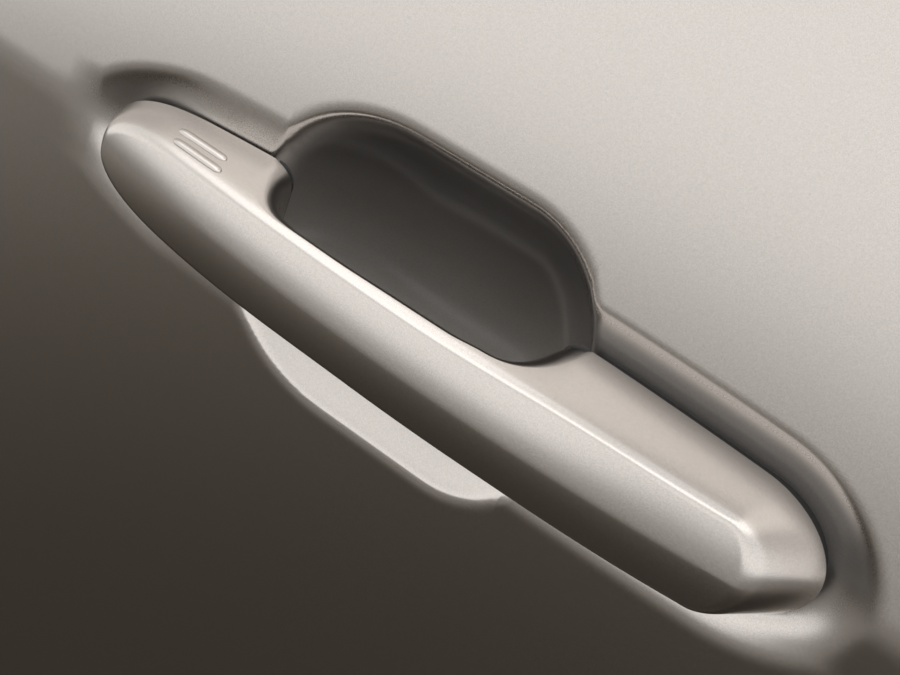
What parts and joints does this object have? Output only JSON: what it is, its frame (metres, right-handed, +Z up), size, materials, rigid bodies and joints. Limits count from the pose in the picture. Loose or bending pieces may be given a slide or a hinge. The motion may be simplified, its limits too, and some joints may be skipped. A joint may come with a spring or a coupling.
{
  "type": "car door section with exterior pull handle",
  "caption": "Exterior pull handle of a car in its pressed recess of door skin, with hinge arm, pull hook, base frame and sprung bell crank behind.",
  "frame": {"origin": "on the crest line of the door skin's outer face, at the middle of the grip; the section of skin is held there by its cut rim", "axes": "+X along the handle from nose (car's front) to tail (car's rear), the outside of the door faces -Y, +Z up; a left-hand side door"},
  "size_m": [0.384, 0.0879, 0.402],
  "materials": {
    "body_paint": "glossy metallic, warm silver",
    "grip_plastic": "painted moulding",
    "black_rubber": "matte",
    "frame_plastic": "glass-filled, matte",
    "crank_plastic": "natural acetal",
    "zinc_steel": "zinc plated",
    "spring_steel": "spring wire"
  },
  "bodies": {
    "door": {"door_skin": "body_paint", "front_pad": "black_rubber", "rear_pad": "black_rubber", "base_frame": "frame_plastic", "frame_screws": "zinc_steel", "clinch_nuts": "zinc_steel", "hinge_pin": "zinc_steel", "crank_pin": "zinc_steel", "return_spring": "spring_steel"},
    "handle": {"handle_shell": "body_paint", "handle_core": "grip_plastic", "shell_screws": "zinc_steel"},
    "crank": {"bell_crank": "crank_plastic", "counterweight": "zinc_steel"}
  },
  "joints": [
    {"name": "handle_pull", "type": "hinge", "parent": "door", "child": "handle", "pos_m": [-0.121, 0.024, 0], "axis": [0, 0, -1], "range_deg": [0, 8], "stiffness_Nm_per_rad": 6, "springref_deg": -5.73},
    {"name": "crank_turn", "type": "hinge", "parent": "door", "child": "crank", "pos_m": [0.077, 0.0321, -0.03], "axis": [1, 0, 0], "range_deg": [0, 56.5]}
  ],
  "couplings": [
    {"joint": "crank_turn", "follows": "handle_pull", "ratio": 7}
  ]
}
